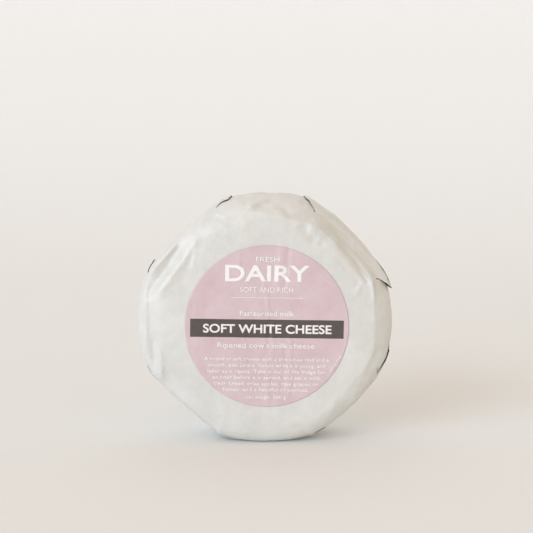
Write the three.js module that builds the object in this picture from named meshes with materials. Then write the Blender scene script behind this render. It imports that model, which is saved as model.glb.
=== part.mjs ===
// A small soft-ripened cheese wheel in its pleated paper wrapper, standing on its edge.
//
// Millimetres, +Z up. The wheel's axis runs along Y, and the front with the round label faces -Y.
// The origin is the middle of the foot, the flat patch of the rim that the wheel stands on.
import * as THREE from "three";

// The wrapped wheel
const wheelRadius = 57; // from the axis out to the paper, as a plain round wheel
const wheelThickness = 34; // front face to back face
const shoulderRadius = 7; // where a face turns over into the rim
const axisHeight = wheelRadius; // the foot is what the wheel presses flat below its plain round

// The paper, and the fit between neighbours that touch
const paperThickness = 0.6; // one sheet with what is folded under it
const fitGap = 0.3;
const pleatRise = 0.9; // how far a pleat's folded edge stands off the back face
const mouthRadius = 9; // the hole left in the middle of the back, where the pleats meet

// The labels
const labelThickness = 0.4;
const frontLabelDiameter = 74;
const frontLabelAside = 1; // the front label is stuck on a little right of the axis
const frontLabelDrop = 2; // and a little below it
const backLabelDiameter = 46;

// The pleats' corners round the rim: degrees anticlockwise from +X as the front label is read,
// how far the corner stands past the plain round wheel, and how full the paper is from this
// corner to the next, where 0 is pulled straight and 1 follows a circle.
const pleats = [
  { at: 20, stands: 0.6, fullness: 0.63 },
  { at: 70, stands: 0.6, fullness: 0.95 },
  { at: 110, stands: -0.2, fullness: 0.35 },
  { at: 155, stands: 0.6, fullness: 1.1 },
  { at: 206, stands: 1.0, fullness: 0.1 },
  { at: 248, stands: 1.4, fullness: 0.9 },
  { at: 293, stands: 1.4, fullness: 0.75 },
  { at: 343, stands: 0.6, fullness: 0.9 },
];

// How finely the surfaces are divided
const columnsPerPleat = 9;
const shoulderSteps = 3; // each shoulder's quarter turn has twice as many
const labelSegments = 64;

const columns = pleats.length * columnsPerPleat;
const { degToRad, smoothstep } = THREE.MathUtils;

// One column of the wheel's surface: its angle, how far it is on the way from one pleat to the
// next (0 to 1), and how far the paper reaches from the axis there.
function columnAt(index) {
  const turn = index % columns;
  const side = Math.floor(turn / columnsPerPleat);
  const from = pleats[side];
  const to = pleats[(side + 1) % pleats.length];
  const share = (turn % columnsPerPleat) / columnsPerPleat;
  const sweep = degToRad((to.at - from.at + 360) % 360);
  const near = wheelRadius + from.stands;
  const far = wheelRadius + to.stands;
  const straight =
    (near * far * Math.sin(sweep)) /
    (near * Math.sin(share * sweep) + far * Math.sin((1 - share) * sweep));
  const bow = from.fullness * near * (1 - Math.cos(sweep / 2));
  return {
    angle: degToRad(from.at) + share * sweep,
    share,
    reach: straight + bow * 4 * share * (1 - share),
  };
}

// The wheel's half section at a given depth under the wrapper's outside, from startRadius on the
// back face over the rim to the middle of the front face.
function halfSection(depth, startRadius) {
  const half = wheelThickness / 2 - depth;
  const shoulder = shoulderRadius - depth;
  const flat = wheelRadius - shoulderRadius;
  const path = new THREE.Path();
  path.moveTo(startRadius, half);
  path.lineTo(flat / 2, half);
  path.absarc(flat, half - shoulder, shoulder, Math.PI / 2, 0, true);
  path.absarc(flat, shoulder - half, shoulder, 0, -Math.PI / 2, true);
  path.lineTo(flat / 2, -half);
  path.lineTo(0, -half);
  return path
    .getPoints(shoulderSteps)
    .map((point) => Object.assign(point, { depth }));
}

// How high a point on the outside of the back lies: nothing on the rim, and on the flat of the
// back pleatRise at each pleat's folded edge, running down to nothing at the next pleat.
function pleatHeight(point, share) {
  const onBack = smoothstep(wheelRadius - point.x, 0, shoulderRadius);
  const lies = point.depth === 0 && point.y > 0 && share > 0;
  return lies ? pleatRise * (1 - share) * onBack : 0;
}

// Turns a section about the axis and pulls it to the pleated outline, with its rim no further
// out than mostReach and nothing lower than the foot.
function pleatedTurn(section, mostReach, heightOver) {
  const geometry = new THREE.LatheGeometry(section, columns);
  const position = geometry.getAttribute("position");
  for (let i = 0; i < position.count; i++) {
    const { angle, share, reach } = columnAt(Math.floor(i / section.length));
    const point = section[i % section.length];
    const radius = (point.x * Math.min(reach, mostReach)) / wheelRadius;
    position.setXYZ(
      i,
      radius * Math.cos(angle),
      point.y + heightOver(point, share),
      Math.max(radius * Math.sin(angle), point.depth - axisHeight),
    );
  }
  return geometry;
}

// The cheese: one solid, close under the paper, and round where the pleats stand off it.
function cheeseGeometry() {
  const section = halfSection(paperThickness + fitGap, 0);
  return pleatedTurn(section, wheelRadius, () => 0);
}

// The wrapper: a shell round the cheese, open at the mouth in the back, where each pleat's
// folded edge lies over the pleat before it.
function wrapperGeometry() {
  const inside = halfSection(paperThickness, mouthRadius).reverse();
  const outside = halfSection(0, mouthRadius);
  return pleatedTurn([...inside, ...outside], Infinity, pleatHeight);
}

// A round label, its faces square to the axis.
function labelGeometry(diameter) {
  return new THREE.CylinderGeometry(
    diameter / 2,
    diameter / 2,
    labelThickness,
    labelSegments,
  );
}

function material(color, roughness) {
  return new THREE.MeshStandardMaterial({ color, roughness, metalness: 0 });
}

function piece(name, geometry, itsMaterial) {
  const mesh = new THREE.Mesh(geometry, itsMaterial);
  mesh.name = name;
  return mesh;
}

const wheel = new THREE.Group();
wheel.position.z = axisHeight;

const cheese = piece("cheese", cheeseGeometry(), material(0xf2ecdc, 0.9));
const wrapper = piece("paper_wrapper", wrapperGeometry(), material(0xe4e4df, 0.55));

const frontLabel = piece(
  "front_label",
  labelGeometry(frontLabelDiameter),
  material(0xdab9bd, 0.5),
);
frontLabel.position.set(
  frontLabelAside,
  -(wheelThickness / 2 + fitGap + labelThickness / 2),
  -frontLabelDrop,
);

const backLabel = piece(
  "back_label",
  labelGeometry(backLabelDiameter),
  material(0xe9e6df, 0.5),
);
backLabel.position.y =
  wheelThickness / 2 + pleatRise + fitGap + labelThickness / 2;

wheel.add(cheese, wrapper, frontLabel, backLabel);

const part = new THREE.Group();
part.add(wheel);

export default part;
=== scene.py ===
# A small soft-ripened cheese wheel in its pleated white paper, standing on its edge.
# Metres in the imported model's frame: the wheel's axis runs along Y and its front faces -Y.
from math import asin, atan, atan2, cos, exp, hypot, log, pi, radians, sin, tan, tanh

import bmesh
import bpy
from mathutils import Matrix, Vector, noise


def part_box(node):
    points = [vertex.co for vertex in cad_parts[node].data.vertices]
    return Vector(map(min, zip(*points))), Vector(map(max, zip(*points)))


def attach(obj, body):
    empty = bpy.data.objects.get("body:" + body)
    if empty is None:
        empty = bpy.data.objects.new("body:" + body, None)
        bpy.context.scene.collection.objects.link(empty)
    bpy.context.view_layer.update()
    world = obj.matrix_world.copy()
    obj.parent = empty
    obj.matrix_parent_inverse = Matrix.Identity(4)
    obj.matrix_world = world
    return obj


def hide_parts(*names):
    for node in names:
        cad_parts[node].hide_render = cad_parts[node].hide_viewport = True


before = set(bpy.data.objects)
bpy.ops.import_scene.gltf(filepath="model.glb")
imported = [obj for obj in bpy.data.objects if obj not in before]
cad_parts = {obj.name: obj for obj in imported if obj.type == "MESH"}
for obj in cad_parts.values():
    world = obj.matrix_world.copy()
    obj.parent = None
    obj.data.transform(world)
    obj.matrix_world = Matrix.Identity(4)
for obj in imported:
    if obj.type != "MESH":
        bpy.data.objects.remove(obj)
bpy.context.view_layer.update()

mm = 0.001
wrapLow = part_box("paper_wrapper")[0]
frontLabelLow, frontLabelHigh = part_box("front_label")
backLabelLow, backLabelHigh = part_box("back_label")
cheeseLow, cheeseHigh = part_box("cheese")

frontY = wrapLow.y  # the flat of the front face
backY = cheeseHigh.y + cheeseLow.y - frontY  # the flat of the back, under its pleats
axisZ = (backLabelLow.z + backLabelHigh.z) / 2  # the wheel's axis is at x 0 and this height
wheelRadius = axisZ  # out to the paper, as a plain round wheel


def clamp(value, low=0.0, high=1.0):
    return max(low, min(high, value))


def mix(low, high, share):
    return low + (high - low) * share


def ease(share):  # 0 to 1, soft at both ends
    share = clamp(share)
    return share * share * (3 - 2 * share)


# The paper

paper = {
    "cut": 0.225,  # the side of the square sheet it was folded from, in metres
    "thickness": 0.12 * mm,
    "layer": 0.26 * mm,  # from one folded layer to the next
    "pillow": 13,  # how late a round shoulder turns over: higher is nearer the rim
    "leastBevel": 2 * mm,  # from the flat of the front out to the rim
    "faceSpread": 0.85,  # below 1 the rings lie closer towards the edge of the face
    "facetWithin": 0.5,  # the cosine of how far round a facet still counts
    "facetMerge": 1.5 * mm,  # how softly one facet's roundness runs into the next
    "facetCorner": 0.7 * mm,  # and how soft the corner between them is
    "heel": 7 * mm,  # the back shoulder's radius
    "mouth": 6 * mm,  # the hole where the pleats meet, under the back label
    "openStrip": 1.2 * mm,  # what a pleat's columns take where it isn't folded yet
    "openShare": 0.15,  # and no more than this share of the distance from the axis
    "closed": 0.15 * mm,  # what every fold still stands open by on the back
    "falls": 0.3,  # the share of the way to the next pleat over which a fold lies down
    "spineStart": 50 * mm,  # from here in, a fold's edge runs straight across the back
    "spineWidth": 1.35,  # of its width on the rim, what a fold covers there
    "spineAside": 6.5 * mm,  # how far from the axis its edge passes
    "spineLimit": 23,  # degrees round that it may reach
    "foot": 0.15 * mm,  # the paper's lowest point over the floor
    "faceRows": 58,
    "bevelRows": 18,
    "rimRows": 12,
    "heelRows": 8,
    "backRows": 22,
    "sectorColumns": 30,
}

# Each pleat, anticlockwise from the right as the front is read, in millimetres and degrees. at,
# stands and fullness set the outline. The facet is the shoulder from this pleat to the next: the
# way it faces, where it leaves the flat of the front, how round it is (0 is a flat facet, 1 a
# quarter round) and how far back it runs. The fold starts at base, turns clockwise (-1) or
# anticlockwise (1) over its neighbour, is width across on the rim, stands open by lift and
# begins at that share of the shoulder. The last flag marks a fold whose inside columns are
# coloured near black: painted shade for the dark gap in the fold.
pleats = [
    {"at": 20, "stands": 0.6, "fullness": 0.63, "facet": (44, 47.5, 0.25, 12.0),
     "base": 21, "turns": -1, "width": 7.0, "lift": 1.5, "starts": 0.35, "foldShaded": True},
    {"at": 70, "stands": 0.6, "fullness": 0.8, "facet": (76, 48.2, 0.3, 12.0),
     "base": 65.5, "turns": 1, "width": 5.0, "lift": 0.3, "starts": 0.6, "foldShaded": True},
    {"at": 110, "stands": -0.2, "fullness": 0.3, "facet": (133, 51.0, 1.0, 8.5),
     "base": 113, "turns": -1, "width": 6.0, "lift": 0.25, "starts": 0.75, "foldShaded": True},
    {"at": 155, "stands": 0.3, "fullness": 1.05, "facet": (181, 52.4, 0.7, 7.5),
     "base": 158, "turns": -1, "width": 3.0, "lift": 0.06, "starts": 0.85, "foldShaded": False},
    {"at": 206, "stands": 0.7, "fullness": 0.1, "facet": (227, 51.0, 1.0, 8.0),
     "base": 206, "turns": -1, "width": 4.0, "lift": 0.0, "starts": 0.9, "foldShaded": False},
    {"at": 248, "stands": 1.2, "fullness": 0.8, "facet": (270, 50.0, 1.0, 9.5),
     "base": 248, "turns": -1, "width": 4.0, "lift": 0.0, "starts": 0.9, "foldShaded": False},
    {"at": 293, "stands": 1.2, "fullness": 0.75, "facet": (320, 49.2, 0.7, 7.2),
     "base": 293, "turns": 1, "width": 6.0, "lift": 0.3, "starts": 0.85, "foldShaded": False},
    {"at": 343, "stands": 1.3, "fullness": 0.97, "facet": (1.5, 49.6, 0.35, 6.2),
     "base": 334, "turns": 1, "width": 12.0, "lift": 0.55, "starts": 0.8, "foldShaded": True},
]

# A fold's path across its pleat: share of the width from the base, layer, and share of the lift.
foldPath = [
    (-1.12, 0, 0.0),
    (-0.75, 0, 0.0),
    (-0.4, 0, 0.0),
    (-0.04, 0, 0.0),
    (0.0, 0.5, 0.0),
    (-0.04, 1, 0.05),
    (-0.4, 1, 0.45),
    (-0.75, 1, 0.85),
    (-0.97, 1.2, 1.0),
    (-1.0, 1.6, 1.05),
    (-0.97, 2, 1.0),
    (-0.75, 2, 0.9),
    (-0.4, 2, 0.7),
]
foldColumns = len(foldPath)
# In a marked fold these columns get the near-black colour: painted shade inside the fold.
foldShadeColumns = range(1, 9)  # the columns between a fold's root and its open edge
pinches = {"middle": 0.8, "spread": 0.9, "least": 0.25, "most": 1.2}  # of a fold's lift along it

# How fast a fold closes on the shoulder, the power that its width grows by there, how much wider
# it gets across the rim, and how fast it lies down there
folding = {"closes": 2.5, "widens": 1.4, "spreads": 0.2, "settles": 1.3}
sectorSteps = foldColumns + paper["sectorColumns"]
columnCount = len(pleats) * sectorSteps

zoneRows = [
    ("face", paper["faceRows"]),
    ("bevel", paper["bevelRows"]),
    ("rim", paper["rimRows"]),
    ("heel", paper["heelRows"]),
    ("back", paper["backRows"]),
]
rowCount = sum(rows for zone, rows in zoneRows)

# Creases pressed into the front, in millimetres: from and to, right of and above the axis, how
# wide, and how high (below 0 is a valley).
creases = [
    ((-11, 36), (-11.5, 20), 0.9, 0.2),  # under the label
    ((11, 36), (9, 16), 0.9, -0.3),
    ((7.5, 35), (6, 14), 1.4, 0.22),
    ((-0.5, 20), (2.4, 2), 1.0, 0.22),
    ((2.4, 2), (1.3, -16), 1.1, -0.24),
    ((4.0, -1), (3.4, -18), 1.0, 0.18),
    ((1.3, -16), (1.5, -44), 1.0, 0.24),
    ((11.8, -8), (10.6, -36), 1.0, 0.2),
    ((9.4, -8), (8.2, -30), 1.2, -0.16),
    ((-20, 24), (-27, 6), 3.0, -0.2),
    ((22, 12), (29, -4), 4.0, -0.2),
    ((-53.6, 20.2), (-40.1, 36.2), 1.4, 2.4),  # the upper left
    ((-52.4, 13), (-36.9, 34.3), 2.2, -2.0),
    ((-49, 12), (-38.5, 25), 2.2, 0.8),
    ((-38.5, 25), (-30, 37.5), 1.8, 0.8),
    ((-34, 26), (-32, 34), 1.0, -0.4),
    ((-31.8, 26), (-30.8, 33), 0.8, 0.25),
    ((-44, -2), (-36, -14), 5.0, 0.3),  # the left
    ((-53.9, 16), (-53.7, -22), 1.0, 0.6),
    ((-51, 12), (-50.8, -18), 2.8, -0.45),
    ((-50.6, -9), (-50.0, -27), 1.2, -1.0),
    ((-47.4, -14), (-47.0, -26), 1.4, 1.0),
    ((-53, -27.5), (-46, -29.8), 0.9, -0.9),
    ((-52.5, -30.5), (-47, -32), 0.9, 0.6),
    ((-46, -33), (-33, -43), 5.0, 0.35),
    ((-24, 50.5), (-17, 47), 0.8, 0.5),  # the top
    ((-22, 47), (-14, 45), 1.4, -0.3),
    ((-7, 52.4), (1, 55.4), 0.9, 1.6),
    ((-4, 51.2), (3, 53.6), 1.2, -1.0),
    ((0, 54), (10, 47), 1.6, 0.45),
    ((6, 53), (18, 46), 1.4, -0.5),
    ((17, 44), (22, 37), 2.0, -0.8),
    ((9.3, 51), (10.8, 47.8), 0.8, -0.6),
    ((10.5, 47.4), (20, 49.4), 0.8, -0.6),
    ((11, 49.4), (20, 51.4), 1.0, 0.5),
    ((23, 46), (20, 39), 1.3, 0.4),  # the upper right
    ((27, 47.5), (48.5, 24.5), 2.8, -2.3),
    ((24, 42), (35, 33), 1.6, -0.5),
    ((35, 34), (46, 20), 1.7, -1.6),
    ((40.5, 30), (49.5, 19), 1.0, 0.8),
    ((43, 23.5), (45.5, 18.5), 0.9, -0.6),
    ((46.5, 22.5), (48.5, 17), 0.8, 0.5),
    ((30, 40), (25, 35), 1.8, -0.6),
    ((29, 46), (41, 33), 1.2, 0.5),
    ((34, 28), (44, 16), 1.5, -0.35),
    ((46, 22), (41, 13), 1.2, 0.4),
    ((48.3, 20), (49.2, 10), 0.8, 0.6),
    ((51, -14), (45, -29), 1.4, -0.4),  # the right, the bottom and beside the label
    ((33, -38), (24, -46), 3.0, 0.4),
    ((-12, -40), (6, -46), 5.0, 0.25),
    ((38, 6), (41, -12), 4.0, 0.25),
    ((-26, 40), (-8, 42), 4.0, 0.3),
]

creaseLook = {
    "past": 0.2,  # how far it runs out past its ends, in shares of its length
    "fade": 3,  # how fast it rises there
    "reach": 2.6,  # how far off it still counts, in its own widths
    "wander": 0.4,  # how much its height varies
    "wanderSize": 5 * mm,
}

# The noises that crumple the paper: how far across in millimetres, and weight
crumples = {
    "broad": (16, 0.7),
    "folds": (9, 1.8),
    "fine": (3.6, 0.35),
    "sharpness": 2.2,
    "middle": 0.55,  # what a creased noise is on the whole
}

# The ripples that fan out round the rim: how many to a radian, length in millimetres, weight.
# They are middle strong on the whole, and stronger or weaker that many times to a radian.
fans = {"broad": (9, 45, 1.0), "fine": (23, 20, 0.5), "middle": 0.7, "varies": 1.3}

# How much each zone is crumpled and gathered, in millimetres
crumpleSizes = {"face": 0.2, "bevel": 0.28, "rim": 0.28, "heel": 0.28, "back": 0.3}
gatherSizes = {"face": 0.0, "bevel": 0.35, "rim": 0.45, "heel": 0.5, "back": 0.45}


def sectorOf(angle):  # the pleat before it, the share of the way to the next, and that way
    turn = angle % (2 * pi)
    for index, pleat in enumerate(pleats):
        start = radians(pleat["at"])
        sweep = (radians(pleats[(index + 1) % len(pleats)]["at"]) - start) % (2 * pi)
        past = (turn - start) % (2 * pi)
        if past <= sweep:
            return index, past / sweep, sweep
    return 0, 0.0, 1.0


def outlineReach(angle):  # how far the wrapped wheel reaches from its axis
    index, share, sweep = sectorOf(angle)
    near = wheelRadius + pleats[index]["stands"] * mm
    far = wheelRadius + pleats[(index + 1) % len(pleats)]["stands"] * mm
    across = near * sin(share * sweep) + far * sin((1 - share) * sweep)
    straight = near * far * sin(sweep) / across
    bow = pleats[index]["fullness"] * near * (1 - cos(sweep / 2))
    return straight + bow * 4 * share * (1 - share)


def facetAt(angle):  # where the shoulder begins, how round it is and how far back it runs
    found = []
    for pleat in pleats:
        direction, distance, roundness, depth = pleat["facet"]
        across = cos(angle - radians(direction))
        if across > paper["facetWithin"]:
            reach = distance * mm / mix(across, 1.0, roundness ** 2)
            found.append((reach, roundness, depth * mm))
    nearest = min(found)[0]
    weights = [exp((nearest - facet[0]) / paper["facetMerge"]) for facet in found]
    total = sum(weights)
    roundness = sum(weight * facet[1] for weight, facet in zip(weights, found)) / total
    depth = sum(weight * facet[2] for weight, facet in zip(weights, found)) / total
    return nearest - log(total) * paper["facetCorner"], roundness, depth


# The outline and the facets at every quarter of a degree, because they are asked for so often
outlineSteps = 1440
outline = []
for step in range(outlineSteps + 1):
    angle = 2 * pi * step / outlineSteps
    outline.append((outlineReach(angle), *facetAt(angle)))


def outlineAt(angle):  # [reach, where the shoulder begins, its roundness, its depth]
    place = angle % (2 * pi) / (2 * pi) * outlineSteps
    before = min(int(place), outlineSteps - 1)
    neighbours = zip(outline[before], outline[before + 1])
    return [mix(low, high, place - before) for low, high in neighbours]


def frontDepth(radius, reach, inner, roundness, depth):  # how far back a place on the front lies
    rounded = depth * (1 - (1 - min(1.0, radius / reach) ** paper["pillow"]) ** 0.5)
    flat = depth * clamp((radius - inner) / (reach - inner))
    return mix(flat, rounded, roundness)


def sectionAt(zone, share, angle):  # (radius, y) and the outward normal as (radial, y)
    reach, inner, roundness, depth = outlineAt(angle)
    inner = min(inner, reach - paper["leastBevel"])
    heel = paper["heel"]
    if zone == "face":
        radius = inner * share ** paper["faceSpread"]
        return radius, frontY + frontDepth(radius, reach, inner, roundness, depth), 0.0, -1.0
    if zone == "bevel":
        places = []  # this one, then one on each side of it to find the way the bevel runs
        for near in (share, min(share + 0.02, 1.0), max(share - 0.02, 0.0)):
            radius = inner + (reach - inner) * mix(near, sin(near * pi / 2), roundness)
            places.append(Vector((radius, frontDepth(radius, reach, inner, roundness, depth))))
        along = (places[1] - places[2]).normalized()
        return places[0].x, frontY + places[0].y, along.y, -along.x
    if zone == "rim":
        return reach, mix(frontY + depth, backY - heel, share), 1.0, 0.0
    if zone == "heel":
        turn = share * pi / 2
        return reach - heel * (1 - cos(turn)), backY - heel * (1 - sin(turn)), cos(turn), sin(turn)
    return mix(reach - heel, paper["mouth"], share), backY, 0.0, 1.0


def spineAngle(pleat, radius):  # how far round from its base a fold lies on the back
    aside = paper["spineAside"]
    turn = paper["spineWidth"] * pleat["width"] * mm / paper["spineStart"]
    turn += asin(min(1.0, aside / radius)) - asin(aside / paper["spineStart"])
    limit = radians(paper["spineLimit"])
    return limit * tanh(turn / limit)


def foldAt(pleat, zone, share, radius):  # (how folded, width, lift) of a pleat on this row
    width, lift = pleat["width"] * mm, pleat["lift"] * mm
    rest = paper["closed"]
    if zone == "face":
        return 0.0, 0.0, 0.0
    if zone == "bevel":
        grown = clamp((share - pleat["starts"]) / (1 - pleat["starts"]))
        width *= grown ** folding["widens"]
        return ease(grown * folding["closes"]), width, lift * ease(grown)
    if zone == "rim":
        standing = mix(lift, rest, ease(share * folding["settles"]))
        return 1.0, width * (1 + folding["spreads"] * share), standing
    onBack = radius * tan(spineAngle(pleat, radius))
    if zone == "heel":
        return 1.0, mix(width * (1 + folding["spreads"]), onBack, ease(share)), rest
    return 1.0, onBack, rest


def foldPlaces(pleat, zone, share, radius):  # (offset along the rim, height) of a fold's columns
    folded, width, lift = foldAt(pleat, zone, share, radius)
    varied = noise.noise(Vector((pleat["base"] / 9, share * 4, radius / (12 * mm))))
    pinch = pinches["middle"] + pinches["spread"] * varied
    pinch = clamp(pinch, pinches["least"], pinches["most"])
    strip = min(paper["openStrip"], radius * paper["openShare"])
    path = foldPath
    if pleat["turns"] > 0:
        path = [(-out, layer, up) for out, layer, up in reversed(foldPath)]
    places = []
    for column, (out, layer, up) in enumerate(path):
        flat = strip * (column / (foldColumns - 1) - 0.5)
        height = layer * paper["layer"] + up * lift * pinch
        places.append((mix(flat, out * width, folded), height * folded))
    return places


def rowAt(row):  # the zone of a row of the sheet, and its share of the way across the zone
    for zone, rows in zoneRows:
        if row <= rows:
            return zone, row / rows
        row -= rows
    return "back", 1.0


foldsOnRow = {}


def foldOnRow(index, row):  # (base, the base's radius, the fold's columns) of a pleat on a row
    if (index, row) not in foldsOnRow:
        pleat = pleats[index]
        zone, share = rowAt(row)
        base = radians(pleat["base"])
        radius = sectionAt(zone, share, base)[0]
        foldsOnRow[index, row] = base, radius, foldPlaces(pleat, zone, share, radius)
    return foldsOnRow[index, row]


def columnPlace(row, column):  # (angle, height over the wheel) of a column of the sheet
    index, step = divmod(column % columnCount, sectorSteps)
    following = (index + 1) % len(pleats)
    base, radius, places = foldOnRow(index, row)
    if step < foldColumns:
        offset, height = places[step]
        return base + atan(offset / max(radius, mm)), height
    nextBase, nextRadius, nextPlaces = foldOnRow(following, row)
    nextBase = base + (nextBase - base) % (2 * pi)
    start = base + atan(places[-1][0] / max(radius, mm))
    end = nextBase + atan(nextPlaces[0][0] / max(nextRadius, mm))
    along = (step - foldColumns + 1) / (paper["sectorColumns"] + 1)
    leaves, joins = pleats[index]["turns"] < 0, pleats[following]["turns"] > 0
    layers = paper["layer"] * 2
    fromTop = min(layers, places[-1][1]) if leaves else 0.0
    toTop = min(layers, nextPlaces[0][1]) if joins else 0.0
    height = mix(fromTop, toTop, along)
    if leaves:
        height += (places[-1][1] - fromTop) * (1 - ease(along / paper["falls"]))
    if joins:
        height += (nextPlaces[0][1] - toTop) * (1 - ease((1 - along) / paper["falls"]))
    return mix(start, end, along), height


def ridged(point, size):  # creased noise, 0 in its valleys and 1 on its ridges
    return 1 - min(1.0, abs(noise.noise(point / (size * mm))) * crumples["sharpness"])


def crumple(point):  # about -1 to 1
    middle = crumples["middle"]
    broadSize, broadWeight = crumples["broad"]
    foldSize, foldWeight = crumples["folds"]
    fineSize, fineWeight = crumples["fine"]
    broad = noise.noise(point / (broadSize * mm) + Vector((3.1, 7.7, 1.9)))
    folds = (ridged(point, foldSize) - middle) ** 3
    fine = ridged(point + Vector((0.031, 0.017, 0.023)), fineSize) - middle
    return broadWeight * broad + foldWeight * folds + fineWeight * fine


def gathers(angle, radius):  # the fine fans of ripples round the rim, about -1 to 1
    spread = fans["middle"] + noise.noise(Vector((angle * fans["varies"], 5.1, 0.4)))
    total = 0.0
    for waves, length, weight in (fans["broad"], fans["fine"]):
        place = Vector((cos(angle) * waves, sin(angle) * waves, radius / (length * mm)))
        total += weight * noise.noise(place)
    return spread * total


def creaseHeight(x, z):  # how far the creases lift the front there, below 0 in a valley
    past, fade = creaseLook["past"], creaseLook["fade"]
    total = 0.0
    for (fromX, fromZ), (toX, toZ), wide, high in creases:
        runX, runZ = (toX - fromX) * mm, (toZ - fromZ) * mm
        offX, offZ = x - fromX * mm, z - fromZ * mm
        length = hypot(runX, runZ)
        along = (offX * runX + offZ * runZ) / length ** 2
        off = (offX * runZ - offZ * runX) / (length * wide * mm)
        if -past < along < 1 + past and abs(off) < creaseLook["reach"]:
            varied = noise.noise(Vector((x, z, wide)) / creaseLook["wanderSize"])
            wander = 1 + creaseLook["wander"] * varied
            ends = ease((along + past) * fade) * ease((1 + past - along) * fade)
            total += high * mm * wander * exp(-off * off) * ends
    return total


def frontHeight(x, z):  # how far the front stands out at a place under the label
    radius, reach = hypot(x, z), outlineAt(atan2(z, x))
    fall = frontDepth(radius, *reach)
    point = Vector((x, frontY, z))
    return crumple(point) * crumpleSizes["face"] * mm + creaseHeight(x, z) - fall


def paperPlace(row, column):  # where a corner of the sheet lies, crumpled and creased
    zone, share = rowAt(row)
    angle, height = columnPlace(row, column)
    radius, y, outward, back = sectionAt(zone, share, angle)
    x, z = radius * cos(angle), radius * sin(angle)
    point = Vector((x, frontY if zone == "face" else y, z))
    height += crumple(point) * crumpleSizes[zone] * mm
    height += gathers(angle, radius) * gatherSizes[zone] * mm * (share if zone == "bevel" else 1.0)
    if zone in ("face", "bevel"):
        y -= creaseHeight(x, z) * (1.0 if zone == "face" else 1 - share ** 2)
    out = radius + outward * height
    place = Vector((out * cos(angle), y + back * height, axisZ + out * sin(angle)))
    place.z = max(place.z, paper["foot"])
    return place


def meshPiece(name, bm, materials):
    mesh = bpy.data.meshes.new(name)
    bm.to_mesh(mesh)
    bm.free()
    for polygon in mesh.polygons:
        polygon.use_smooth = True
    for material in materials:
        mesh.materials.append(material)
    piece = bpy.data.objects.new(name, mesh)
    bpy.context.scene.collection.objects.link(piece)
    return piece


def thicken(piece, thickness, offset=-1.0):
    solid = piece.modifiers.new("thickness", "SOLIDIFY")
    solid.thickness = thickness
    solid.offset = offset


def flatSheet(rows, columns):  # a disc of rings one unit apart, from a ray spun round
    bm = bmesh.new()
    ray = bm.edges.new([bm.verts.new((reach, 0, 0)) for reach in (0, rows)])
    bmesh.ops.subdivide_edges(bm, edges=[ray], cuts=rows - 1)
    bmesh.ops.spin(
        bm, geom=bm.verts[:] + bm.edges[:], cent=(0, 0, 0), axis=(0, 0, 1),
        angle=2 * pi, steps=columns, use_merge=True,
    )
    bmesh.ops.remove_doubles(bm, verts=bm.verts, dist=0.001)
    return bm


def ringPlace(vert, columns):  # which ring of a flat sheet a corner is on, and which column
    ring = round(hypot(vert.co.x, vert.co.y))
    column = round(atan2(vert.co.y, vert.co.x) / (2 * pi) * columns) % columns
    return ring, column


def faceOutward(bm):  # turns the faces of an open shell away from its middle
    bm.normal_update()
    middle = Vector((0, 0, axisZ))
    outward = 0.0
    for face in bm.faces:
        outward += (face.calc_center_median() - middle).dot(face.normal) * face.calc_area()
    if outward < 0:
        bmesh.ops.reverse_faces(bm, faces=bm.faces)


def wrapPaper(materials):
    bm = flatSheet(rowCount, columnCount)
    foldShaded = bm.verts.layers.int.new("foldShaded")
    for vert in bm.verts:
        row, column = ringPlace(vert, columnCount)
        zone, share = rowAt(row)
        index, step = divmod(column, sectorSteps)
        pleat = pleats[index]
        along = step if pleat["turns"] < 0 else foldColumns - 1 - step
        folded = zone in ("rim", "heel") or zone == "bevel" and share > pleat["starts"]
        # Painted shade: the inside columns of a marked fold are flagged for the near-black colour.
        vert[foldShaded] = int(pleat["foldShaded"] and folded and along in foldShadeColumns)
        vert.co = paperPlace(row, column)
    faceOutward(bm)
    for face in bm.faces:
        # Material 1 is the near-black painted shade of the folds' gaps.
        face.material_index = int(all(vert[foldShaded] for vert in face.verts))
    piece = meshPiece("paper_wrapper_sheet", bm, materials)
    thicken(piece, paper["thickness"])
    return piece


# Painted shade along a second edge of a fold, where a thin gap lies dark: from and to in degrees
# round and millimetres from the axis, and how wide it shows.
foldShadeEdges = [
    ((28, 58), (15.5, 60), 0.36),
    ((-10.6, 57.6), (-14.6, 58.6), 0.3),
    ((-22.5, 55.3), (-25.6, 57.0), 0.2),
]
foldShadeLook = {
    "steps": 12,
    "smoothings": 4,
    "ends": 0.15,  # of its full width, what is left at both ends
    "tilt": -0.5,  # how far it leans to the front as it widens
    "inward": 0.4,  # of half its width, what lies towards the axis
    "outward": 1.6,  # and away from it
    "thickness": 0.06 * mm,
    "frontWeight": 0.1,  # what a millimetre further back counts for, against one aside
}


def frontmost(paperMesh, angle, reach):  # the place on the paper that is seen there from in front
    x, z = reach * cos(angle), axisZ + reach * sin(angle)
    weight = foldShadeLook["frontWeight"]
    near = min(
        paperMesh.vertices,
        key=lambda v: hypot(v.co.x - x, v.co.z - z) + weight * (v.co.y - frontY),
    )
    return near.co.copy()


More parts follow.
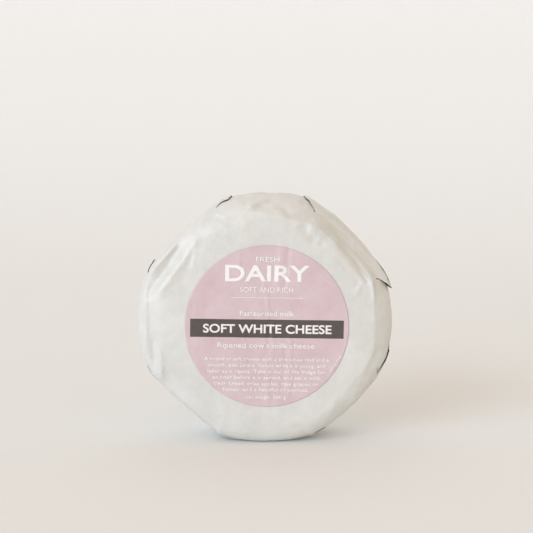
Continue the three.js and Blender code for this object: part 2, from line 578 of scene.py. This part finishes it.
# Painted shade: narrow near-black strips laid on the paper where a thin gap at a fold's edge lies
# in shade.
def paintFoldShade(wrapper, material):  # narrow dark strips on the paper
    bm = bmesh.new()
    steps = foldShadeLook["steps"]
    for (fromAngle, fromReach), (toAngle, toReach), wide in foldShadeEdges:
        shares = [step / steps for step in range(steps + 1)]
        angles = [radians(mix(fromAngle, toAngle, share)) for share in shares]
        reaches = [mix(fromReach, toReach, share) * mm for share in shares]
        path = [frontmost(wrapper.data, angle, reach) for angle, reach in zip(angles, reaches)]
        for again in range(foldShadeLook["smoothings"]):
            inner = [(a + 2 * b + c) / 4 for a, b, c in zip(path, path[1:], path[2:])]
            path = [path[0], *inner, path[-1]]
        before = None
        for share, angle, place in zip(shares, angles, path):
            half = 0.5 * wide * mm * (foldShadeLook["ends"] + sin(share * pi))
            offsets = (-half * foldShadeLook["inward"], half * foldShadeLook["outward"])
            outward = Vector((cos(angle), foldShadeLook["tilt"], sin(angle))).normalized()
            pair = [bm.verts.new(place + outward * off) for off in offsets]
            if before:
                bm.faces.new((*before, *reversed(pair)))
            before = pair
    faceTowards(bm, -1)
    piece = meshPiece("painted_fold_shade_edges", bm, [material])
    thicken(piece, foldShadeLook["thickness"], 0.0)
    return piece


# The labels

frontLabel = {
    "radius": (frontLabelHigh.x - frontLabelLow.x) / 2,
    "x": (frontLabelLow.x + frontLabelHigh.x) / 2,
    "z": (frontLabelLow.z + frontLabelHigh.z) / 2 - axisZ,
    "clearance": 0.05 * mm,  # from the paper to the label's back
    "thickness": 0.08 * mm,
    "print": 0.05 * mm,  # how far the print stands over the label
    "inkThickness": 0.01 * mm,
    "rings": 76,
    "columns": 300,
    "tilt": -0.75,  # degrees, clockwise below 0
    "band": (69.2 * mm, 8.3 * mm, -0.9 * mm),  # width, height, middle over the label's middle
    "bandCut": 0.5 * mm,  # the longest edge in the band
    "printCut": 0.6 * mm,  # and in the letters
}

# The front label's print: words, width and height of the line in millimetres, middle of the
# line right of and over the label's middle, turn in degrees, and how far the strokes are
# fattened, in the type's own size.
frontPrint = [
    ("FRESH", 10.6, 2.4, 0, 30.7, 0, 0.005),
    ("DAIRY", 38.0, 7.5, 0, 24.5, 0, 0.025),
    ("SOFT AND RICH", 23.9, 2.5, -0.3, 16.9, 0, 0.01),
    ("Pasteurised milk", 24.6, 2.6, 0, 6.2, 0, 0.015),
    ("SOFT WHITE CHEESE", 58.0, 4.0, 0.2, -0.9, 0, 0.025),
    ("Ripened cow's milk cheese", 43.9, 2.6, -0.3, -8.5, 0, 0.015),
    ("A round of soft cheese with a thin white rind and a", 56.5, 1.8, 0, -14.8, 0, 0.022),
    ("smooth, pale centre. Gentle while it is young, and", 53.1, 1.8, 0, -17.7, 0, 0.022),
    ("fuller as it ripens. Take it out of the fridge for", 53.8, 1.8, 0, -20.5, 0, 0.022),
    ("an hour before it is served, and eat it with", 48.8, 1.8, 0, -23.3, 0, 0.022),
    ("fresh bread, crisp apples, ripe grapes or", 47.8, 1.8, 0, -26.1, 0, 0.022),
    ("honey, and a handful of walnuts.", 39.1, 1.8, 0, -28.9, 0, 0.022),
    ("net weight 300 g", 18.3, 1.7, 0, -32.4, 0, 0.02),
    ("white rind", 8.6, 1.4, 31.0, -16.6, 57, 0.015),
]
divider = (32.9 * mm, 0.22 * mm, 13.2 * mm)  # width, height, middle over the label's middle

backLabel = {
    "radius": (backLabelHigh.x - backLabelLow.x) / 2,
    "y": backLabelLow.y,
    "thickness": 0.12 * mm,
    "print": 0.03 * mm,
    "inkThickness": 0.012 * mm,
    "rings": 46,
    "columns": 150,
    "printCut": 1.5 * mm,
    "sag": 0.25 * mm,  # how far it dips between the pleats
    "spoke": 2 * mm,  # how wide a pleat holds it up
    "ripple": 0.12 * mm,
    "rippleSize": 7 * mm,
}

backPrint = [
    ("SOFT CHEESE", 26.0, 2.6, 0, 11.6, 0, 0.03),
    ("milk, salt, cultures, rennet", 32.0, 1.9, 0, 7.4, 0, 0.0),
    ("keep cool at 2 to 6 degrees", 33.0, 1.9, 0, 4.2, 0, 0.0),
    ("300 g", 12.0, 4.0, 0, -2.0, 0, 0.04),
    ("per 100 g   fat 33 g   protein 17 g", 34.0, 1.8, 0, -7.6, 0, 0.0),
    ("salt 1.5 g   carbohydrate 1 g", 28.0, 1.8, 0, -10.8, 0, 0.0),
]


def frontLabelPlace(x, z, stands):  # right of and over the label's middle, out over its back
    turn = radians(frontLabel["tilt"])
    across = frontLabel["x"] + x * cos(turn) - z * sin(turn)
    above = frontLabel["z"] + x * sin(turn) + z * cos(turn)
    out = frontHeight(across, above) + frontLabel["clearance"] + stands
    return Vector((across, frontY - out, axisZ + above))


def backLabelPlace(x, z, stands):  # x runs to the left as the front is read
    angle, reach = atan2(z, -x), hypot(x, z)
    spokes = 0.0
    for pleat in pleats:
        away = (angle - radians(pleat["base"]) + pi) % (2 * pi) - pi
        spokes += exp(-(away * reach / backLabel["spoke"]) ** 2)
    dip = backLabel["sag"] * (1 - clamp(spokes)) * ease(reach / backLabel["radius"])
    varied = noise.noise(Vector((x, z, 3.3 * mm)) / backLabel["rippleSize"])
    ripple = backLabel["ripple"] * varied
    return Vector((-x, backLabel["y"] + stands - dip + ripple, axisZ + z))


def stickLabel(name, label, place, front, material):
    bm = flatSheet(label["rings"], label["columns"])
    for vert in bm.verts:
        ring = hypot(vert.co.x, vert.co.y) / label["rings"] * label["radius"]
        angle = atan2(vert.co.y, vert.co.x)
        vert.co = place(ring * cos(angle), ring * sin(angle), label["thickness"])
    faceTowards(bm, -1 if front else 1)
    piece = meshPiece(name, bm, [material])
    thicken(piece, label["thickness"])
    return piece


def faceTowards(bm, direction):  # turns all the faces to look along Y one way or the other
    bm.normal_update()
    if sum(face.normal.y * face.calc_area() for face in bm.faces) * direction < 0:
        bmesh.ops.reverse_faces(bm, faces=bm.faces)


mostCuts = 8  # rounds of halving an edge that is too long


def cutFine(bm, longest):  # splits long edges, so that flat print can follow a creased label
    bmesh.ops.triangulate(bm, faces=bm.faces)
    for again in range(mostCuts):
        long = [edge for edge in bm.edges if edge.calc_length() > longest]
        if not long:
            break
        bmesh.ops.subdivide_edges(bm, edges=long, cuts=1)
        bmesh.ops.triangulate(bm, faces=bm.faces)


def setLine(bm, words, width, height, x, z, turn, weight):  # sets a line of type, flat
    curve = bpy.data.curves.new("type", "FONT")
    curve.body = words
    curve.resolution_u = 6 if height > 2 else 2  # rounder letters in the lines over 2 mm
    curve.offset = weight
    setter = bpy.data.objects.new("type", curve)
    mesh = bpy.data.meshes.new_from_object(setter)
    left, right = (pick(v.co.x for v in mesh.vertices) for pick in (min, max))
    tallest = 0.73 if words.upper() == words else 0.76  # of a letter, in the type's own size
    cosine, sine = cos(radians(turn)), sin(radians(turn))
    for v in mesh.vertices:
        across = (v.co.x - (left + right) / 2) / (right - left) * width * mm
        above = (v.co.y / tallest - 0.5) * height * mm
        v.co = (x * mm + across * cosine - above * sine, z * mm + across * sine + above * cosine, 0)
    bm.from_mesh(mesh)
    bpy.data.objects.remove(setter)
    bpy.data.curves.remove(curve)
    bpy.data.meshes.remove(mesh)


def setBar(bm, width, height, z):  # a plain bar across the label
    corners = bmesh.ops.create_grid(bm, x_segments=1, y_segments=1, size=0.5)["verts"]
    bmesh.ops.scale(bm, verts=corners, vec=(width, height, 1))
    bmesh.ops.translate(bm, verts=corners, vec=(0, z, 0))


def layPrint(name, bm, label, place, front, above, longest, material):
    bmesh.ops.remove_doubles(bm, verts=bm.verts, dist=0.005 * mm)
    cutFine(bm, longest)
    for vert in bm.verts:
        vert.co = place(vert.co.x, vert.co.y, label["thickness"] + above)
    faceTowards(bm, -1 if front else 1)
    piece = meshPiece(name, bm, [material])
    thicken(piece, label["inkThickness"], 0.0)
    return piece


def printedLines(lines):
    bm = bmesh.new()
    for line in lines:
        setLine(bm, *line)
    return bm


# The cheese

cheeseLook = {
    "shoulder": 12 * mm,
    "faceRings": 40,
    "edgeRows": 12,
    "rimRows": 14,
    "columns": 200,
    "lumps": 0.25 * mm,
    "lumpSizes": (9 * mm, 3 * mm),  # across, the second at half the weight
    "matLines": 0.12 * mm,  # the draining mat's print on both faces
    "matPitch": 5.5 * mm,
    "matReach": 50 * mm,  # from the axis
    "matFade": 8 * mm,  # over which it fades out at that edge
    "clear": 0.35 * mm,  # from its own box, in front and behind
    "under": 0.8 * mm,  # from the paper's front, at the least
    "inside": 1.6 * mm,  # from the paper's outline
    "widest": 55 * mm,
    "foot": 1.0 * mm,  # over the floor
}


def cheeseSection(row, reach):  # (radius, y) and the outward normal as (radial, y)
    rings, edge, rim = (cheeseLook[key] for key in ("faceRings", "edgeRows", "rimRows"))
    low, high = cheeseLow.y + cheeseLook["clear"], cheeseHigh.y - cheeseLook["clear"]
    shoulder = cheeseLook["shoulder"]
    mirrored = row > rings + edge + rim / 2
    if mirrored:
        row = 2 * (rings + edge) + rim - row
    if row <= rings:
        radius, y, outward, back = (reach - shoulder) * row / rings, low, 0.0, -1.0
    elif row <= rings + edge:
        turn = (row - rings) / edge * pi / 2
        radius = reach - shoulder * (1 - sin(turn))
        y, outward, back = low + shoulder * (1 - cos(turn)), sin(turn), -cos(turn)
    else:
        share = (row - rings - edge) / rim
        radius, y, outward, back = reach, mix(low + shoulder, high - shoulder, share), 1.0, 0.0
    if mirrored:
        y, back = low + high - y, -back
    return radius, y, outward, back


def ripeCheese(material):
    rows = 2 * (cheeseLook["faceRings"] + cheeseLook["edgeRows"]) + cheeseLook["rimRows"]
    bm = flatSheet(rows, cheeseLook["columns"])
    for vert in bm.verts:
        row, column = ringPlace(vert, cheeseLook["columns"])
        angle = column * 2 * pi / cheeseLook["columns"]
        reach = min(outlineAt(angle)[0] - cheeseLook["inside"], cheeseLook["widest"])
        radius, y, outward, back = cheeseSection(row, reach)
        x, z = radius * cos(angle), radius * sin(angle)
        if row <= cheeseLook["faceRings"] + cheeseLook["edgeRows"]:
            y = max(y, frontY - frontHeight(x, z) + cheeseLook["under"])
        point = Vector((x, y, z))
        broad, fine = (noise.noise(point / size) for size in cheeseLook["lumpSizes"])
        lump = broad + 0.5 * fine
        mat = sin(x / cheeseLook["matPitch"] * 2 * pi) * abs(back)
        mat *= ease((cheeseLook["matReach"] - radius) / cheeseLook["matFade"])
        height = (lump - 1) * cheeseLook["lumps"] + mat * cheeseLook["matLines"]
        out = radius + outward * height
        above = max(axisZ + out * sin(angle), cheeseLook["foot"])
        vert.co = (out * cos(angle), y + back * height, above)
    bmesh.ops.remove_doubles(bm, verts=bm.verts, dist=0.01 * mm)
    bmesh.ops.recalc_face_normals(bm, faces=bm.faces)
    return meshPiece("cheese_wheel", bm, [material])


# Materials


def newMaterial(name):
    material = bpy.data.materials.new(name)
    material.use_nodes = True
    tree = material.node_tree
    return material, tree, tree.nodes["Principled BSDF"]


def addNode(tree, kind, **values):
    node = tree.nodes.new(kind)
    for key, value in values.items():
        if key in node.inputs:
            node.inputs[key].default_value = value
        else:
            setattr(node, key, value)
    return node


def noiseNode(tree, scale, detail=4.0, roughness=0.55):
    where = tree.nodes.new("ShaderNodeTexCoord").outputs["Object"]
    grain = addNode(tree, "ShaderNodeTexNoise", Scale=scale, Detail=detail, Roughness=roughness)
    tree.links.new(where, grain.inputs["Vector"])
    return grain.outputs["Fac"]


def rampNode(tree, source, stops):
    ramp = tree.nodes.new("ShaderNodeValToRGB")
    while len(ramp.color_ramp.elements) < len(stops):
        ramp.color_ramp.elements.new(0.5)
    for element, (place, color) in zip(ramp.color_ramp.elements, stops):
        element.position = place
        element.color = (*color, 1)
    tree.links.new(source, ramp.inputs["Fac"])
    return ramp.outputs["Color"]


def rangeNode(tree, source, low, high):
    spread = addNode(tree, "ShaderNodeMapRange")
    spread.inputs["To Min"].default_value = low
    spread.inputs["To Max"].default_value = high
    tree.links.new(source, spread.inputs["Value"])
    return spread.outputs["Result"]


def bumpNode(tree, heights):  # heights is a list of (source, distance in metres)
    normal = None
    for source, distance in heights:
        bump = addNode(tree, "ShaderNodeBump", Strength=1.0, Distance=distance)
        tree.links.new(source, bump.inputs["Height"])
        if normal:
            tree.links.new(normal, bump.inputs["Normal"])
        normal = bump.outputs["Normal"]
    return normal


# Tints are lists of (place, colour), roughness runs from low to high, and the rest are the
# heights of the bumps that the noise of that name makes.
waxedLook = {
    "tint": [(0.32, (0.656, 0.653, 0.615)), (0.68, (0.738, 0.736, 0.703))],
    "speckle": [(0.35, (0.95, 0.955, 0.95)), (0.65, (1.0, 1.0, 1.0))],
    "roughness": (0.28, 0.46),
    "wrinkle": 0.4 * mm,
    "mottle": 0.1 * mm,
    "fibre": 0.03 * mm,
}
rindLook = {
    "tint": [(0.3, (0.72, 0.66, 0.52)), (0.52, (0.83, 0.81, 0.75)), (0.7, (0.88, 0.87, 0.84))],
    "roughness": (0.85, 1.0),
    "patches": 0.4 * mm,
    "down": 0.15 * mm,
    "sheen": 0.3,
}
# Near-black colours standing in for the shade in the folds' gaps: painted shade.
foldShadeColours = {
    "tint": [(0.3, (0.028, 0.034, 0.031)), (0.7, (0.05, 0.056, 0.05))],
    "roughness": (0.5, 0.7),
    "mottle": 0.05 * mm,
}
labelLook = {
    "smoother": 0.06,  # than the roughness it is given, at its smoothest
    "rougher": 0.08,
    "patches": 0.08 * mm,
    "fibre": 0.02 * mm,
}


def waxedPaper():
    material, tree, shader = newMaterial("waxed white paper")
    cloudy = noiseNode(tree, 45, 6, 0.62)
    mottled = noiseNode(tree, 210, 4, 0.6)
    wrinkle = noiseNode(tree, 120, 5, 0.62)
    fibre = noiseNode(tree, 1000, 3)
    tint = rampNode(tree, cloudy, waxedLook["tint"])
    speckle = rampNode(tree, mottled, waxedLook["speckle"])
    blend = addNode(tree, "ShaderNodeMix", data_type="RGBA", blend_type="MULTIPLY")
    blend.inputs["Factor"].default_value = 1.0
    tree.links.new(tint, blend.inputs["A"])
    tree.links.new(speckle, blend.inputs["B"])
    tree.links.new(blend.outputs["Result"], shader.inputs["Base Color"])
    tree.links.new(rangeNode(tree, mottled, *waxedLook["roughness"]), shader.inputs["Roughness"])
    bumps = [(wrinkle, waxedLook["wrinkle"]), (mottled, waxedLook["mottle"])]
    bumps.append((fibre, waxedLook["fibre"]))
    tree.links.new(bumpNode(tree, bumps), shader.inputs["Normal"])
    return material


def labelPaper(name, low, high, roughness):
    material, tree, shader = newMaterial(name)
    cloudy = noiseNode(tree, 90, 4)
    fibre = noiseNode(tree, 1100, 3)
    tint = rampNode(tree, cloudy, [(0.3, low), (0.7, high)])
    low, high = roughness - labelLook["smoother"], roughness + labelLook["rougher"]
    gloss = rangeNode(tree, fibre, low, high)
    bumps = [(cloudy, labelLook["patches"]), (fibre, labelLook["fibre"])]
    tree.links.new(tint, shader.inputs["Base Color"])
    tree.links.new(gloss, shader.inputs["Roughness"])
    tree.links.new(bumpNode(tree, bumps), shader.inputs["Normal"])
    return material


def bloomyRind():
    material, tree, shader = newMaterial("bloomy white rind")
    patches = noiseNode(tree, 70, 6, 0.65)
    down = noiseNode(tree, 1400, 4, 0.7)
    bumps = [(patches, rindLook["patches"]), (down, rindLook["down"])]
    tree.links.new(rampNode(tree, patches, rindLook["tint"]), shader.inputs["Base Color"])
    tree.links.new(rangeNode(tree, down, *rindLook["roughness"]), shader.inputs["Roughness"])
    tree.links.new(bumpNode(tree, bumps), shader.inputs["Normal"])
    shader.inputs["Sheen Weight"].default_value = rindLook["sheen"]
    return material


# A near-black material that paints the shade in the folds' gaps.
def paintedFoldShade():
    material, tree, shader = newMaterial("painted fold shade")
    cloudy = noiseNode(tree, 200, 3)
    tree.links.new(rampNode(tree, cloudy, foldShadeColours["tint"]), shader.inputs["Base Color"])
    tree.links.new(rangeNode(tree, cloudy, *foldShadeColours["roughness"]), shader.inputs["Roughness"])
    tree.links.new(bumpNode(tree, [(cloudy, foldShadeColours["mottle"])]), shader.inputs["Normal"])
    return material


# The studio

studio = {
    "floorColor": (0.836, 0.853, 0.846),
    "floorMottle": 0.985,  # its darker patches
    "floorHalf": 16,  # half its side in metres, before it is bent up
    "floorForward": 7,  # how far its middle lies towards the camera
    "floorSteps": 400,
    "sweepStart": 0.5,  # metres behind the wheel, where the floor starts to turn up
    "sweepRadius": 1.6,
    "lens": 85,
    "distance": 0.5805,  # metres from what it is aimed at
    "elevation": 8.0,  # degrees
    "aimAbove": 23 * mm,  # over the wheel's axis
    "aimAside": 0.8 * mm,
    "sky": [  # from the skyline to overhead
        (0.0, (0.81, 0.758, 0.70)),
        (0.25, (0.945, 0.83, 0.693)),
        (1.0, (0.65, 0.475, 0.34)),
    ],
    "keyColor": (0.651, 0.797, 1.0),
    "keyStrength": 2.12,
    "keySide": 44.0,  # degrees round to the left of the camera
    "keyHeight": 15.0,  # degrees over the floor
    "keyWidth": 48.0,  # degrees across, so that its shadows are soft
}


def makeFloor():
    start, radius = studio["sweepStart"], studio["sweepRadius"]
    steps, half = studio["floorSteps"], studio["floorHalf"]
    bm = bmesh.new()
    bmesh.ops.create_grid(bm, x_segments=2, y_segments=steps, size=half)
    for vert in bm.verts:
        run = vert.co.y - studio["floorForward"]
        climb = max(0.0, run - start)
        turn = min(climb / radius, pi / 2)
        vert.co.y = min(run, start) + radius * sin(turn)
        vert.co.z = radius * (1 - cos(turn)) + max(0.0, climb - radius * pi / 2)
    material, tree, shader = newMaterial("pale studio paper")
    grain = noiseNode(tree, 400, 3)
    pale = studio["floorColor"]
    darker = [studio["floorMottle"] * part for part in pale]
    shades = rampNode(tree, grain, [(0.3, darker), (0.7, pale)])
    tree.links.new(shades, shader.inputs["Base Color"])
    shader.inputs["Roughness"].default_value = 0.85
    floor = meshPiece("floor", bm, [material])


def makeLights():
    world = bpy.data.worlds.new("studio")
    bpy.context.scene.world = world
    world.use_nodes = True
    tree = world.node_tree
    way = addNode(tree, "ShaderNodeTexCoord")
    split = addNode(tree, "ShaderNodeSeparateXYZ")
    tree.links.new(way.outputs["Generated"], split.inputs["Vector"])
    sky = rampNode(tree, split.outputs["Z"], studio["sky"])
    tree.links.new(sky, tree.nodes["Background"].inputs["Color"])
    light = bpy.data.lights.new("key", "SUN")
    light.energy = studio["keyStrength"]
    light.color = studio["keyColor"]
    light.angle = radians(studio["keyWidth"])
    key = bpy.data.objects.new("key", light)
    side, height = radians(studio["keySide"]), radians(studio["keyHeight"])
    towards = Vector((-sin(side) * cos(height), -cos(side) * cos(height), sin(height)))
    key.rotation_euler = towards.to_track_quat("Z", "Y").to_euler()
    bpy.context.scene.collection.objects.link(key)
    bpy.context.scene.view_settings.view_transform = "Standard"


def makeCamera():
    lens = bpy.data.cameras.new("camera")
    lens.lens = studio["lens"]
    camera = bpy.data.objects.new("camera", lens)
    tilt = radians(studio["elevation"])
    aim = Vector((studio["aimAside"], 0, axisZ + studio["aimAbove"]))
    back = Vector((0, -cos(tilt), sin(tilt)))
    camera.location = aim + back * studio["distance"]
    camera.rotation_euler = (-back).to_track_quat("-Z", "Y").to_euler()
    bpy.context.scene.collection.objects.link(camera)
    bpy.context.scene.camera = camera


makeCamera()
makeFloor()
makeLights()
print("studio ready")

whitePaper = waxedPaper()
# The near-black painted shade for the folds' gaps.
foldShadeMaterial = paintedFoldShade()
wrapper = wrapPaper([whitePaper, foldShadeMaterial])
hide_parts("paper_wrapper")
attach(wrapper, "root")
print("paper wrapped:", len(wrapper.data.polygons), "faces")

shown = paintFoldShade(wrapper, foldShadeMaterial)
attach(shown, "root")

cheese = ripeCheese(bloomyRind())
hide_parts("cheese")
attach(cheese, "root")
print("cheese made")

pinkPaper = labelPaper("pink label paper", (0.62, 0.47, 0.495), (0.68, 0.545, 0.56), 0.5)
brownPrint = labelPaper("brown print", (0.08, 0.064, 0.055), (0.098, 0.08, 0.071), 0.5)
whitePrint = labelPaper("white print", (0.84, 0.82, 0.81), (0.9, 0.88, 0.87), 0.5)
plainPaper = labelPaper("off-white label paper", (0.74, 0.73, 0.69), (0.8, 0.79, 0.76), 0.5)

label = stickLabel("front_label_paper", frontLabel, frontLabelPlace, True, pinkPaper)
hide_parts("front_label")
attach(label, "root")

bandWidth, bandHeight, bandMiddle = frontLabel["band"]
bandShape = bmesh.new()
setBar(bandShape, bandWidth, bandHeight, bandMiddle)
band = layPrint(
    "front_label_band", bandShape, frontLabel, frontLabelPlace,
    front=True, above=frontLabel["print"], longest=frontLabel["bandCut"], material=brownPrint,
)
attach(band, "root")

lines = printedLines(frontPrint)
setBar(lines, *divider)
words = layPrint(
    "front_label_print", lines, frontLabel, frontLabelPlace,
    front=True, above=2 * frontLabel["print"], longest=frontLabel["printCut"], material=whitePrint,
)
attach(words, "root")
print("front label stuck on:", len(words.data.polygons), "faces of print")

sticker = stickLabel("back_label_paper", backLabel, backLabelPlace, False, plainPaper)
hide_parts("back_label")
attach(sticker, "root")
smallPrint = layPrint(
    "back_label_print", printedLines(backPrint), backLabel, backLabelPlace,
    front=False, above=backLabel["print"], longest=backLabel["printCut"], material=brownPrint,
)
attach(smallPrint, "root")
print("back label stuck on")
